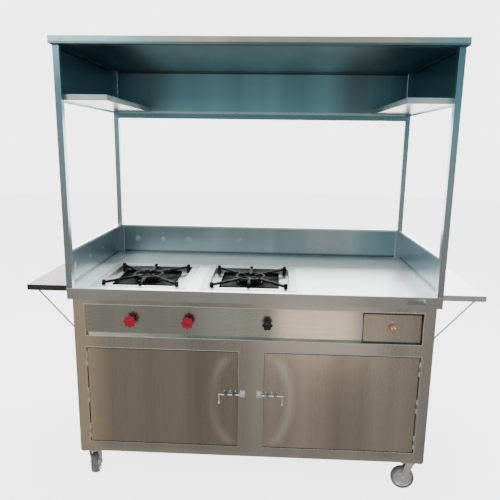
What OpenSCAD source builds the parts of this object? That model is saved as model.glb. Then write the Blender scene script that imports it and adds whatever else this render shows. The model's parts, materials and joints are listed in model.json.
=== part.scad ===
// Push vending cart: a stainless-steel food counter on casters with two gas burners,
// a splash guard, a roofed canopy on four posts and two fold-down side tables.
// The vendor's side, with the doors, knobs and drawer, faces -Y. The floor is z = 0.

/* [Overall size] */
// Width of the counter over its corner posts
body_w = 1524; // [1400:1:1850]
// Depth of the counter over its corner posts
body_d = 750; // [700:1:900]
// Height of the counter top above the floor
counter_h = 890; // [850:1:1000]
// Height of the roof's top above the floor
overall_h = 1863; // [1700:1:2250]

/* [Sheet and tube] */
// Thickness of the steel sheet
sheet = 1.2; // [0.8:0.1:2]
// Side of the square frame tube and of the canopy posts
tube = 25; // [20:1:32]
// Wall of the square tube
tube_wall = 1.5; // [1:0.1:2.5]

/* [Cabinet] */
// How far the countertop overhangs the cabinet on every side
overhang = 16; // [12:1:30]
// Depth of the turned-down apron of the countertop
apron_h = 47; // [36:1:60]
// Width of the corner stiles
stile_w = 48; // [36:1:60]
// Half the width of the panel between the doors
centre_half = 52; // [46:1:60]
// Height of the bottom rail
bottom_rail_h = 46; // [30:1:60]
// Height of the doors' opening
door_open_h = 438; // [400:1:520]
// Height of the rail between the doors and the control panel
mid_rail_h = 52; // [40:1:60]
// Height of the recess that holds the control panel
recess_h = 136; // [125:1:150]
// How far the control panel is set back from the face of the cabinet
recess_depth = 18; // [14:1:24]
// Gap around each door and around the drawer front
reveal = 4; // [2:0.5:5]

/* [Burners] */
// Side of the square well of a burner pan
well_w = 350; // [330:1:360]
// Width of the flange around the well
pan_flange = 28; // [20:1:30]
// Depth of the well below the counter top
well_depth = 22; // [18:1:28]
// Distance of the burners' centres in front of the cart's middle
burner_y = 135; // [128:1:145]
// Distance of the left burner's centre from the cart's middle
burner_left_x = 478; // [465:1:490]
// Distance of the right burner's centre from the cart's middle
burner_right_x = 18; // [10:1:26]
// Radius of a burner's cap
cap_r = 55; // [45:1:60]
// Gap between the feet of a pan support and the wall of the well
foot_gap = 15; // [12:1:30]

/* [Splash guard and canopy] */
// Height of the splash guard above the counter
guard_h = 152; // [120:1:200]
// Width of the folded rim on the guard
guard_rim = 16; // [12:1:22]
// Depth of the roof's turned-down lip
roof_lip = 28; // [26.5:0.5:40]
// How far the roof overhangs the posts at the sides
roof_over_x = 10; // [6:1:30]
// How far the roof overhangs the posts at the front and back
roof_over_y = 15; // [12:1:30]
// Height of the canopy's side and back panels
fascia_h = 207; // [180:1:260]
// Width of an overhead shelf
shelf_w = 191; // [120:1:240]
// Height of the turned-up edge of an overhead shelf
shelf_lip = 22; // [15:1:30]

/* [Side tables] */
// Width of a side table
table_w = 182; // [150:1:195]
// Length of a side table
table_l = 670; // [600:1:680]
// Depth of a side table's turned-down edge
table_edge = 24; // [20:1:30]
// Thickness of the folding stay's rod
stay_d = 7; // [6:0.5:8]
// Height of the stay's lower pivot below the table's hinge line
stay_drop = 177; // [172:1:180]

/* [Drawer] */
// Width of the drawer front
drawer_w = 234; // [200:1:240]
// Height of the drawer front
drawer_h = 118; // [100:1:120]
// Depth of the drawer box
drawer_d = 290; // [220:1:320]

/* [Controls] */
// Radius of the two red burner knobs
knob_r = 27; // [20:1:28]
// Radius of the black main valve's knob
main_knob_r = 22; // [18:1:26]
// Radius of the valve stems
stem_r = 4; // [3:0.5:5]
// Radius of the door bolts
bolt_r = 4; // [3:0.5:4.5]

/* [Casters] */
// Diameter of the wheels
wheel_d = 100; // [90:1:105]
// Width of the tyres
wheel_w = 30; // [24:1:32]
// Height from the floor to the underside of the cabinet
caster_h = 146; // [142:1:165]
// Distance of a wheel's axle behind its swivel axis
caster_trail = 28; // [20:1:30]

/* [Hidden] */
$fn = 48;

eps = 1;            // how far a cutting tool passes through
weld_gap = 0.2;     // fit-up gap between two tubes or sheets before they are welded
seat_gap = 0.1;     // gap between two pieces that are screwed or riveted together
run_gap = 0.5;      // gap between a moving piece and its seat
pin_gap = 0.05;     // radial clearance of a pin or shaft in its hole

// Body outlines
half_w = body_w / 2;
half_d = body_d / 2;
cab_x = half_w - overhang;
cab_y = half_d - overhang;
cab_z = caster_h;
under_top = counter_h - sheet;
face_y = -cab_y;
stile_x = cab_x - stile_w;

// Heights of the cabinet's face, from the bottom up
door_z0 = cab_z + bottom_rail_h;
door_z1 = door_z0 + door_open_h;
recess_z0 = door_z1 + mid_rail_h;
recess_z1 = recess_z0 + recess_h;
apron_z = counter_h - apron_h;
gas_z = recess_z0 + 70;     // height of the gas line and of the knobs
panel_y = face_y + recess_depth;
return_d = recess_depth;

// Canopy
roof_z = overall_h - sheet;
rail_z = roof_z - tube;
post_top = rail_z;
lip_z = overall_h - roof_lip;
fascia_z = lip_z - fascia_h;
shelf_z = fascia_z + 7;
hem = 20;

// Colours
steel = [0.72, 0.73, 0.73];
dark_steel = [0.36, 0.45, 0.47];
tube_grey = [0.55, 0.57, 0.57];
cast_iron = [0.09, 0.09, 0.10];
brass = [0.80, 0.58, 0.26];
red = [0.68, 0.08, 0.10];
black = [0.07, 0.07, 0.07];
rubber = [0.24, 0.25, 0.26];
zinc = [0.66, 0.67, 0.68];

// A block between two opposite corners
module block(from, to) {
    translate(from) cube(to - from);
}

// A hollow square tube between two opposite corners, open at both ends of its long axis (0 x, 1 y, 2 z)
module box_tube(from, to, axis) {
    inset = [for (i = [0:2]) i == axis ? -eps : tube_wall];
    difference() {
        block(from, to);
        block(from + inset, to - inset);
    }
}

// A round bar from one point along an axis (0 x, 1 y, 2 z)
module bar(from, length, r, axis) {
    turn = axis == 0 ? [0, 90, 0] : axis == 1 ? [-90, 0, 0] : [0, 0, 0];
    translate(from) rotate(turn) cylinder(h = length, r = r);
}

// Its children as drawn and mirrored to the other side of the cart
module both_sides() {
    children();
    mirror([1, 0, 0]) children();
}

// ---- Frame ----

corner_plate_t = 4;
caster_plate_t = 3;
caster_x = half_w - 62;
caster_y = cab_y - 38;
caster_half_x = 45;
caster_half_y = 33;
cross_x = 250;      // the cross members under the cabinet floor
frame_x = cab_x - sheet;
frame_y = cab_y - sheet;

module corner_plate() {
    difference() {
        block([caster_x - caster_half_x, caster_y - caster_half_y, cab_z - corner_plate_t],
            [caster_x + caster_half_x, caster_y + caster_half_y, cab_z - seat_gap]);
        for (p = caster_bolt_spots) {
            translate([p[0], p[1], cab_z - corner_plate_t - eps])
                cylinder(h = corner_plate_t + 2 * eps, r = caster_bolt_r);
        }
    }
}

module base_frame() color(tube_grey) {
    z1 = cab_z + tube;
    inner_y = frame_y - tube - weld_gap;
    for (s = [-1, 1]) {
        y0 = s < 0 ? -frame_y : frame_y - tube;
        box_tube([-frame_x, y0, cab_z], [frame_x, y0 + tube, z1], 0);
    }
    for (x0 = [-frame_x, -cross_x - tube / 2, cross_x - tube / 2, frame_x - tube]) {
        box_tube([x0, -inner_y, cab_z], [x0 + tube, inner_y, z1], 1);
    }
    for (sx = [0, 1], sy = [0, 1]) {
        mirror([sx, 0, 0]) mirror([0, sy, 0]) corner_plate();
    }
}

bearer_x = [-(burner_left_x + burner_right_x) / 2, well_w / 2 - burner_right_x + 32];

module cabinet_frame() color(tube_grey) {
    post_z0 = cab_z + tube + weld_gap;
    top_z0 = under_top - tube;
    inner_y = frame_y - tube - weld_gap;
    for (sx = [0, 1], sy = [0, 1]) {
        mirror([sx, 0, 0]) mirror([0, sy, 0])
            box_tube([frame_x - tube, frame_y - tube, post_z0],
                [frame_x, frame_y, top_z0 - weld_gap], 2);
    }
    for (s = [-1, 1]) {
        y0 = s < 0 ? -frame_y : frame_y - tube;
        box_tube([-frame_x, y0, top_z0], [frame_x, y0 + tube, under_top], 0);
    }
    for (x0 = [-frame_x, bearer_x[0] - tube / 2, bearer_x[1] - tube / 2, frame_x - tube]) {
        box_tube([x0, -inner_y, top_z0], [x0 + tube, inner_y, under_top], 1);
    }
}

// ---- Cabinet skin ----

// A stile is an angle: its face covers the corner and its return lines the recess
module stile() {
    block([stile_x, face_y, cab_z], [cab_x, face_y + sheet, under_top]);
    block([stile_x, face_y, door_z0], [stile_x + sheet, face_y + return_d, recess_z1]);
}

// A rail between the stiles, with a return to the back along its lower or upper edge
module rail(z0, z1, low_return, high_return) {
    x1 = stile_x - weld_gap;
    block([-x1, face_y, z0], [x1, face_y + sheet, z1]);
    if (low_return) block([-x1, face_y, z0], [x1, face_y + return_d, z0 + sheet]);
    if (high_return) block([-x1, face_y, z1 - sheet], [x1, face_y + return_d, z1]);
}

module face_frame() color(steel) {
    both_sides() stile();
    rail(cab_z, door_z0, false, true);
    rail(door_z1, recess_z0, true, true);
    rail(recess_z1, under_top, true, false);
}

module side_panels() color(steel) {
    both_sides() block([frame_x, face_y + sheet, cab_z], [cab_x, cab_y - sheet, under_top]);
}

module back_panel() color(steel) {
    difference() {
        block([-cab_x, cab_y - sheet, cab_z], [cab_x, cab_y, under_top]);
        bar([inlet_x, cab_y - sheet - eps, gas_z], sheet + 2 * eps, pipe_r + run_gap, 1);
    }
}

module cabinet_floor() color(steel) {
    z0 = cab_z + tube;
    notch = tube + 2 * weld_gap;
    difference() {
        block([-frame_x, -frame_y, z0], [frame_x, frame_y, z0 + sheet]);
        for (sx = [0, 1], sy = [0, 1]) {
            mirror([sx, 0, 0]) mirror([0, sy, 0])
                block([frame_x - notch, frame_y - notch, z0 - eps], [cab_x, cab_y, z0 + sheet + eps]);
        }
    }
}

stop_w = 12;        // flange behind the door's free edge

module centre_panel() color(steel) {
    z0 = door_z0 + weld_gap;
    z1 = door_z1 - weld_gap;
    block([-centre_half, face_y, z0], [centre_half, face_y + sheet, z1]);
    both_sides() {
        block([centre_half - sheet, face_y, z0], [centre_half, panel_y + 2 * sheet, z1]);
        block([centre_half - sheet, panel_y + sheet, z0], [centre_half + stop_w, panel_y + 2 * sheet, z1]);
    }
}

partition_y0 = panel_y + 2 * sheet + weld_gap;
partition_z1 = recess_z0 - 12;
inside_floor = cab_z + tube + sheet;

module centre_partition() color(steel) {
    block([-sheet / 2, partition_y0, inside_floor], [sheet / 2, frame_y, partition_z1]);
    block([-sheet / 2, partition_y0, inside_floor], [hem, frame_y, inside_floor + sheet]);
}

storage_z = door_z0 + door_open_h * 0.5;

module storage_shelf() color(steel) {
    x0 = sheet / 2 + weld_gap;
    x1 = frame_x - weld_gap;
    y0 = -frame_y + tube + 40;
    y1 = frame_y - tube - weld_gap;
    block([x0, y0, storage_z], [x1, y1, storage_z + sheet]);
    block([x0, y0, storage_z - hem], [x1, y0 + sheet, storage_z + sheet]);
}

// ---- Control panel and drawer ----

knob_xs = [-506, -266, 65];
drawer_x1 = stile_x - 4;
drawer_x0 = drawer_x1 - drawer_w;
drawer_z0 = recess_z0 + 4;
drawer_z1 = drawer_z0 + drawer_h;
drawer_x = (drawer_x0 + drawer_x1) / 2;
panel_margin = 7;   // how far the control panel reaches behind the face frame
slot_gap = 4;       // gap around the drawer front

module control_panel() color(steel) {
    z0 = recess_z0 - panel_margin;
    z1 = recess_z1 + panel_margin;
    x1 = stile_x + panel_margin;
    difference() {
        block([-x1, panel_y, z0], [x1, panel_y + sheet, z1]);
        block([drawer_x0 - slot_gap, panel_y - eps, recess_z0 - 2 * sheet],
            [drawer_x1 + slot_gap, panel_y + sheet + eps, drawer_z1 + slot_gap]);
        for (x = knob_xs) {
            bar([x, panel_y - eps, gas_z], sheet + 2 * eps, stem_r + 3, 1);
        }
    }
}

case_x0 = drawer_x0 - slot_gap;
case_x1 = drawer_x1 + slot_gap;
case_z0 = recess_z0;
case_h = drawer_h - 12;
case_y0 = panel_y + sheet + weld_gap;
case_y1 = case_y0 + drawer_d + 20;

module drawer_case() color(tube_grey) {
    z1 = case_z0 + case_h;
    block([case_x0 - sheet, case_y0, case_z0], [case_x1 + sheet, case_y1, case_z0 + sheet]);
    block([case_x0 - sheet, case_y0, case_z0], [case_x0, case_y1, z1]);
    block([case_x1, case_y0, case_z0], [case_x1 + sheet, case_y1, z1]);
    block([case_x0 - sheet, case_y1 - sheet, case_z0], [case_x1 + sheet, case_y1, z1]);
}

front_depth = 14;   // depth of the folded drawer front
front_y0 = panel_y - 2;
box_y0 = front_y0 + front_depth + seat_gap;
box_y1 = box_y0 + drawer_d;
box_z0 = case_z0 + sheet + run_gap;
box_z1 = drawer_z1 - 22;

module drawer_box() color(steel) {
    x0 = case_x0 + run_gap;
    x1 = case_x1 - run_gap;
    difference() {
        block([x0, box_y0, box_z0], [x1, box_y1, box_z1]);
        block([x0 + sheet, box_y0 + sheet, box_z0 + sheet], [x1 - sheet, box_y1 - sheet, box_z1 + eps]);
    }
}

drawer_knob_z = (drawer_z0 + drawer_z1) / 2 + 2;

module drawer_front() color(steel) {
    difference() {
        block([drawer_x0, front_y0, drawer_z0], [drawer_x1, front_y0 + front_depth, drawer_z1]);
        block([drawer_x0 + sheet, front_y0 + sheet, drawer_z0 + sheet],
            [drawer_x1 - sheet, front_y0 + front_depth + eps, drawer_z1 - sheet]);
    }
}

module drawer_knob() color(brass) {
    translate([drawer_x, front_y0 - seat_gap, drawer_knob_z]) rotate([90, 0, 0])
        rotate_extrude() polygon([[0, 0], [11, 0], [11, 2], [5, 4], [4.5, 10], [9, 14],
            [12, 18], [11.5, 22], [8, 24.5], [0, 25.5]]);
}

// ---- Countertop and guards ----

cut_w = well_w + 8;

module countertop() color(steel) {
    difference() {
        block([-half_w, -half_d, under_top], [half_w, half_d, counter_h]);
        for (x = [-burner_left_x, -burner_right_x]) {
            block([x - cut_w / 2, -burner_y - cut_w / 2, under_top - eps],
                [x + cut_w / 2, -burner_y + cut_w / 2, counter_h + eps]);
        }
    }
    difference() {
        block([-half_w, -half_d, apron_z], [half_w, half_d, counter_h]);
        block([-half_w + sheet, -half_d + sheet, apron_z - eps],
            [half_w - sheet, half_d - sheet, counter_h + eps]);
    }
}

guard_z0 = counter_h + seat_gap;
guard_z1 = counter_h + guard_h;
rim_drop = 9;
post_in_x = half_w - tube - weld_gap;
post_in_y = half_d - tube - weld_gap;

module side_guards() color(steel) both_sides() {
    block([half_w - sheet, -post_in_y, guard_z0], [half_w, post_in_y, guard_z1]);
    block([half_w - guard_rim, -post_in_y, guard_z1 - sheet], [half_w, post_in_y, guard_z1]);
    block([half_w - guard_rim, -post_in_y, guard_z1 - rim_drop],
        [half_w - guard_rim + sheet, post_in_y, guard_z1]);
}

module back_guard() color(steel) {
    block([-post_in_x, half_d - sheet, guard_z0], [post_in_x, half_d, guard_z1]);
    block([-post_in_x, half_d - guard_rim, guard_z1 - sheet], [post_in_x, half_d, guard_z1]);
    block([-post_in_x, half_d - guard_rim, guard_z1 - rim_drop],
        [post_in_x, half_d - guard_rim + sheet, guard_z1]);
}

// ---- Canopy ----

module upper_posts() color(tube_grey) {
    for (sx = [0, 1], sy = [0, 1]) {
        mirror([sx, 0, 0]) mirror([0, sy, 0])
            box_tube([half_w - tube, half_d - tube, guard_z0], [half_w, half_d, post_top - weld_gap], 2);
    }
}

module canopy_frame() color(tube_grey) {
    z1 = rail_z + tube;
    for (s = [-1, 1]) {
        y0 = s < 0 ? -half_d : half_d - tube;
        box_tube([-half_w, y0, rail_z], [half_w, y0 + tube, z1], 0);
    }
    for (x0 = [-half_w, -half_w / 3 - tube / 2, half_w / 3 - tube / 2, half_w - tube]) {
        box_tube([x0, -post_in_y, rail_z], [x0 + tube, post_in_y, z1], 1);
    }
    box_tube([-post_in_x, half_d - tube, fascia_z - tube], [post_in_x, half_d, fascia_z], 0);
}

module roof_pan() color(steel) {
    x1 = half_w + roof_over_x;
    y1 = half_d + roof_over_y;
    difference() {
        block([-x1, -y1, lip_z], [x1, y1, overall_h]);
        block([-x1 + sheet, -y1 + sheet, lip_z - eps], [x1 - sheet, y1 - sheet, overall_h - sheet]);
    }
}

module ceiling_panel() color(dark_steel) {
    block([-post_in_x, -post_in_y, rail_z - sheet - seat_gap], [post_in_x, post_in_y, rail_z - seat_gap]);
}

module side_fascias() color(dark_steel) both_sides() {
    block([half_w - sheet, -post_in_y, fascia_z], [half_w, post_in_y, rail_z - weld_gap]);
}

module back_fascia() color(dark_steel) {
    y0 = half_d - tube + 4;
    block([-post_in_x, y0, fascia_z + seat_gap], [post_in_x, y0 + sheet, rail_z - weld_gap]);
    block([-post_in_x, y0 - sheet, fascia_z + seat_gap], [post_in_x, y0, fascia_z + hem]);
}

shelf_x1 = half_w - sheet - weld_gap;
shelf_x0 = shelf_x1 - shelf_w;

module overhead_shelves() color(steel) both_sides() {
    y1 = post_in_y;
    difference() {
        block([shelf_x0, -y1, shelf_z], [shelf_x1, y1, shelf_z + shelf_lip]);
        block([shelf_x0 + sheet, -y1 + sheet, shelf_z + sheet],
            [shelf_x1 + eps, y1 - sheet, shelf_z + shelf_lip + eps]);
    }
}

// ---- Burners and gas line ----

well_z = counter_h - well_depth;
neck_r = 18;
head_r = cap_r - 6;
head_z = well_z + sheet + 3;
cap_z = counter_h - 10;
mixer_z = well_z - 26;
mixer_r = 10;

module burner_pan(x) {
    z1 = counter_h + sheet + seat_gap;
    half = well_w / 2;
    out = half + pan_flange;
    translate([x, -burner_y, 0]) difference() {
        union() {
            block([-out, -out, z1 - sheet], [out, out, z1]);
            block([-half, -half, well_z], [half, half, z1]);
        }
        block([-half + sheet, -half + sheet, well_z + sheet], [half - sheet, half - sheet, z1 + eps]);
        translate([0, 0, well_z - eps]) cylinder(h = sheet + 2 * eps, r = neck_r + run_gap);
    }
}

module burner_pans() color(steel) {
    burner_pan(-burner_left_x);
    burner_pan(-burner_right_x);
}

module burner(x) {
    translate([x, -burner_y, 0]) {
        difference() {
            union() {
                translate([0, 0, head_z]) cylinder(h = cap_z - head_z, r = head_r);
                translate([0, 0, mixer_z - mixer_r]) cylinder(h = head_z - mixer_z + mixer_r, r = neck_r);
            }
            translate([0, 0, head_z + 4]) cylinder(h = cap_z, r = head_r - 6);
        }
        bar([0, -mixer_len, mixer_z], mixer_len, mixer_r, 1);
        difference() {
            bar([0, -mixer_len - 12, mixer_z], 14, mixer_r + 4, 1);
            bar([0, -mixer_len - 13, mixer_z], 10, mixer_r, 1);
        }
    }
}

mixer_len = 132;

module burners() color(cast_iron) {
    burner(-burner_left_x);
    burner(-burner_right_x);
}

// The cap is a shallow crown with flame slots around its edge
module burner_cap(x) {
    translate([x, -burner_y, cap_z + seat_gap]) difference() {
        rotate_extrude() polygon([[0, 0], [cap_r, 0], [cap_r, 6], [cap_r - 10, 10], [14, 12], [0, 12]]);
        for (a = [0:15:345]) {
            rotate(a) block([cap_r - 8, -1.2, -eps], [cap_r + eps, 1.2, 4]);
        }
    }
}

module burner_caps() color(cast_iron) {
    burner_cap(-burner_left_x);
    burner_cap(-burner_right_x);
}

// Side of the square that the feet of a pan support stand on
grate_w = well_w - 2 * foot_gap;
arm_w = 12;

// A black drip tray stands on the floor of the well, inside the feet of the pan support
tray_gap = 20;
tray_half = grate_w / 2 - arm_w - tray_gap;
tray_h = 14;
tray_t = 1.5;
tray_hole_r = head_r + 3;

module drip_tray(x) {
    z0 = well_z + sheet + seat_gap;
    inner = tray_half - tray_t;
    translate([x, -burner_y, 0]) difference() {
        block([-tray_half, -tray_half, z0], [tray_half, tray_half, z0 + tray_h]);
        block([-inner, -inner, z0 + tray_t], [inner, inner, z0 + tray_h + eps]);
        translate([0, 0, z0 - eps]) cylinder(h = tray_t + 2 * eps, r = tray_hole_r);
    }
}

module drip_trays() color(cast_iron) {
    drip_tray(-burner_left_x);
    drip_tray(-burner_right_x);
}

// A pan support: a ring over the cap, six arms, and a foot and an upturned tip at the end of each arm
grate_z = counter_h + 2;
arm_h = 9;
tip_h = 6;
foot_z = well_z + sheet + run_gap;
grate_ring_r = cap_r + 12;
grate_ring_w = 10;

module grate_arm(angle, reach) {
    rotate(angle) {
        block([grate_ring_r - 2, -arm_w / 2, grate_z], [reach, arm_w / 2, grate_z + arm_h]);
        block([reach - arm_w, -arm_w / 2, foot_z], [reach, arm_w / 2, grate_z + arm_h + tip_h]);
        block([cap_r * 0.5, -arm_w / 2 + 1, grate_z + 2],
            [grate_ring_r, arm_w / 2 - 1, grate_z + arm_h]);
    }
}

module grate(x) color(cast_iron) {
    straight = grate_w / 2;
    diagonal = straight * sqrt(2);
    translate([x, -burner_y, 0]) {
        difference() {
            translate([0, 0, grate_z]) cylinder(h = arm_h, r = grate_ring_r);
            translate([0, 0, grate_z - eps])
                cylinder(h = arm_h + 2 * eps, r = grate_ring_r - grate_ring_w);
        }
        for (a = [45, 135, 225, 315]) grate_arm(a, diagonal);
        for (a = [90, 270]) grate_arm(a, straight);
    }
}

module grate_left() grate(-burner_left_x);
module grate_right() grate(-burner_right_x);

pipe_r = 8;
manifold_r = 11;
manifold_y = panel_y + 52;
inlet_x = knob_xs[2] + 70;
barb_r = 5;
barb_len = 22;
valve_y0 = panel_y + 14;
valve_y1 = manifold_y - manifold_r;

module gas_manifold() color(zinc) {
    bar([knob_xs[0] - 40, manifold_y, gas_z], inlet_x - knob_xs[0] + 40 + pipe_r, manifold_r, 0);
    bar([inlet_x, manifold_y, gas_z], cab_y - 4 - manifold_y, pipe_r, 1);
    bar([inlet_x, cab_y - 4 - eps, gas_z], eps + 8, pipe_r, 1);
    bar([inlet_x, cab_y + 3, gas_z], barb_len, barb_r, 1);
}

module gas_valves() color(brass) {
    for (x = knob_xs) {
        difference() {
            union() {
                block([x - 13, valve_y0 + 6, gas_z - 14], [x + 13, valve_y1, gas_z + 14]);
                bar([x, valve_y0, gas_z], 8, 10, 1);
            }
            bar([x, valve_y0 - eps, gas_z], 16 + eps, stem_r + pin_gap, 1);
        }
    }
}

// Each feed pipe rises from its valve and runs across to the jet in front of its burner
module feed_pipe(x_valve, x_burner) {
    r = 4;
    y = (valve_y0 + 6 + valve_y1) / 2;
    jet_y = -burner_y - mixer_len - 20;
    z0 = gas_z + 14 + seat_gap;
    run = x_burner - x_valve;
    bar([x_valve, y, z0], mixer_z - z0, r, 2);
    translate([x_valve, y, mixer_z]) sphere(r = r);
    bar([min(x_valve, x_burner), y, mixer_z], abs(run), r, 0);
    translate([x_burner, y, mixer_z]) sphere(r = r);
    bar([x_burner, y, mixer_z], jet_y - y, r, 1);
    bar([x_burner, jet_y, mixer_z], 12, 2.5, 1);
}

module feed_pipes() color(brass) {
    feed_pipe(knob_xs[0], -burner_left_x);
    feed_pipe(knob_xs[1], -burner_right_x);
}

// ---- Knobs ----

knob_t = 13;
knob_y1 = panel_y - 24;

// A hand wheel with finger lobes around a hub, on its stem
module hand_wheel(x, r, lobes) {
    lobe = r * 0.26;
    translate([x, knob_y1, gas_z]) rotate([90, 0, 0]) {
        linear_extrude(knob_t) difference() {
            union() {
                circle(r = r - lobe);
                for (i = [0:lobes - 1]) {
                    rotate(i * 360 / lobes) translate([r - lobe, 0]) circle(r = lobe);
                }
            }
            circle(r = stem_r - 1);
        }
        translate([0, 0, -6]) cylinder(h = 6 + eps, r = 9);
    }
    bar([x, knob_y1 - knob_t - 2, gas_z], valve_y0 + 14 - knob_y1 + knob_t + 2, stem_r, 1);
}

module knob_left() color(red) hand_wheel(knob_xs[0], knob_r, 8);
module knob_right() color(red) hand_wheel(knob_xs[1], knob_r, 8);
module knob_main() color(black) hand_wheel(knob_xs[2], main_knob_r, 6);

// ---- Doors, hinges and bolts ----

door_x0 = centre_half + reveal;
door_x1 = stile_x - reveal;
door_y1 = panel_y;
hinge_x = stile_x - reveal / 2;
hinge_r = 3.5;
hinge_y = face_y - hinge_r - 0.7;
hinge_pin_r = 1.5;
hinge_len = 60;
leaf_t = reveal / 2 - 0.3;
leaf_d = return_d - 1;
hinge_zs = [for (k = [0.12, 0.5, 0.88]) door_z0 + door_open_h * k];
third = hinge_len / 3;

// The fixed half of a hinge: two knuckles, the pin and the leaf on the stile
module hinge_fixed(z) {
    for (z0 = [z - hinge_len / 2, z + third / 2]) {
        bar([hinge_x, hinge_y, z0], third, hinge_r, 2);
        block([hinge_x + 0.2, hinge_y, z0], [hinge_x + 0.2 + leaf_t, face_y + leaf_d, z0 + third]);
    }
    bar([hinge_x, hinge_y, z - hinge_len / 2], hinge_len, hinge_pin_r, 2);
    block([hinge_x + 0.2, face_y + 6, z - hinge_len / 2],
        [hinge_x + 0.2 + leaf_t, face_y + leaf_d, z + hinge_len / 2]);
}

// The moving half: the middle knuckle and the leaf on the door's edge
module hinge_moving(z) {
    gap = 0.3;
    difference() {
        union() {
            bar([hinge_x, hinge_y, z - third / 2 + gap], third - 2 * gap, hinge_r, 2);
            block([hinge_x - 0.2 - leaf_t, hinge_y, z - third / 2 + gap],
                [hinge_x - 0.2, face_y + leaf_d, z + third / 2 - gap]);
        }
        bar([hinge_x, hinge_y, z - hinge_len], 2 * hinge_len, hinge_pin_r + pin_gap, 2);
    }
    block([hinge_x - 0.2 - leaf_t, face_y + 6, z - hinge_len / 2],
        [hinge_x - 0.2, face_y + leaf_d, z + hinge_len / 2]);
}

module door_hinges() color(zinc) both_sides() {
    for (z = hinge_zs) hinge_fixed(z);
}

bolt_z = (door_z0 + door_z1) / 2 + 26;
bolt_y = face_y - bolt_r - 3.5;
bolt_x0 = 29;
bolt_x1 = 134;
guide_xs = [64, 98];
guide_w = 14;
plate_x0 = 60;
plate_x1 = 116;

module bolt_housing() {
    y1 = face_y - seat_gap;
    difference() {
        union() {
            block([plate_x0, y1 - 1, bolt_z - 14], [plate_x1, y1, bolt_z + 18]);
            for (x = guide_xs) {
                block([x, bolt_y - bolt_r - 2.5, bolt_z - bolt_r - 2.5],
                    [x + guide_w, y1, bolt_z + bolt_r + 2.5]);
            }
        }
        bar([plate_x0 - eps, bolt_y, bolt_z], plate_x1, bolt_r + pin_gap, 0);
    }
}

// A folded door with its hinge leaves and its bolt housing, drawn for the right side
module door() {
    z0 = door_z0 + reveal;
    z1 = door_z1 - reveal;
    difference() {
        block([door_x0, face_y, z0], [door_x1 - 0.1, door_y1, z1]);
        block([door_x0 + sheet, face_y + sheet, z0 + sheet],
            [door_x1 - 0.1 - sheet, door_y1 + eps, z1 - sheet]);
    }
    for (z = hinge_zs) hinge_moving(z);
    bolt_housing();
}

module door_left() color(steel) mirror([1, 0, 0]) door();
module door_right() color(steel) door();

// A sliding bolt: a rod with a handle turned down at its outer end
module sliding_bolt() {
    bar([bolt_x0, bolt_y, bolt_z], bolt_x1 - bolt_x0, bolt_r, 0);
    translate([bolt_x1, bolt_y, bolt_z]) sphere(r = bolt_r);
    bar([bolt_x1, bolt_y, bolt_z - 36], 36, bolt_r - 0.5, 2);
    translate([bolt_x1, bolt_y, bolt_z - 38]) sphere(r = bolt_r + 1.5);
}

module bolt_left() color(zinc) mirror([1, 0, 0]) sliding_bolt();
module bolt_right() color(zinc) sliding_bolt();

module bolt_keepers() color(zinc) both_sides() {
    y1 = face_y - seat_gap;
    difference() {
        union() {
            block([24, y1 - 1, bolt_z - 12], [46, y1, bolt_z + 18]);
            block([27, bolt_y - bolt_r - 2.5, bolt_z - bolt_r - 2.5], [42, y1, bolt_z + bolt_r + 2.5]);
        }
        bar([20, bolt_y, bolt_z], 40, bolt_r + 0.4, 0);
    }
}

// ---- Side tables and their stays ----

table_x0 = half_w + 2.5;
table_x1 = table_x0 + table_w;
table_z0 = counter_h - table_edge;
fold_x = half_w + 4;
fold_z = table_z0 - 4;
fold_r = 3.8;
fold_pin_r = 1.6;
fold_ys = [for (s = [-1, 0, 1]) s * table_l * 0.37];
fold_len = 60;
fold_third = fold_len / 3;
table_flange = 16;

module table_hinge_fixed(y) {
    for (y0 = [y - fold_len / 2, y + fold_third / 2]) {
        bar([fold_x, y0, fold_z], fold_third, fold_r, 1);
    }
    bar([fold_x, y - fold_len / 2, fold_z], fold_len, fold_pin_r, 1);
    difference() {
        block([half_w + seat_gap, y - fold_len / 2, apron_z + 1], [half_w + 1.6, y + fold_len / 2, fold_z]);
        block([half_w, y - fold_third / 2, fold_z - fold_r - 1],
            [half_w + 2, y + fold_third / 2, fold_z + eps]);
    }
}

module table_hinges() color(zinc) both_sides() {
    for (y = fold_ys) table_hinge_fixed(y);
}

module table_hinge_moving(y) {
    gap = 0.3;
    y0 = y - fold_third / 2 + gap;
    y1 = y + fold_third / 2 - gap;
    difference() {
        union() {
            bar([fold_x, y0, fold_z], y1 - y0, fold_r, 1);
            block([fold_x, y0, fold_z + fold_r - 1.4], [table_x0 + table_flange, y1, table_z0 - seat_gap]);
        }
        bar([fold_x, y - fold_len, fold_z], 2 * fold_len, fold_pin_r + pin_gap, 1);
    }
}

stay_r = stay_d / 2;
stay_reach = 149;   // from the hinge line out to the stay's cross rod
rest_x = fold_x + stay_reach;
rest_half = 12;

// A folded tray with a cross channel for the stay, drawn for the right side
module table() {
    y1 = table_l / 2;
    difference() {
        block([table_x0, -y1, table_z0], [table_x1, y1, counter_h]);
        block([table_x0 + sheet, -y1 + sheet, table_z0 - eps],
            [table_x1 - sheet, y1 - sheet, counter_h - sheet]);
    }
    block([table_x0, -y1, table_z0], [table_x0 + table_flange, y1, table_z0 + sheet]);
    difference() {
        block([rest_x - rest_half, -y1 + 2 * sheet, table_z0],
            [rest_x + rest_half, y1 - 2 * sheet, under_top - seat_gap]);
        block([rest_x - rest_half + sheet, -y1, table_z0 + sheet],
            [rest_x + rest_half - sheet, y1, counter_h]);
    }
    for (y = fold_ys) table_hinge_moving(y);
}

module table_left() color(steel) mirror([1, 0, 0]) table();
module table_right() color(steel) table();

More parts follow.
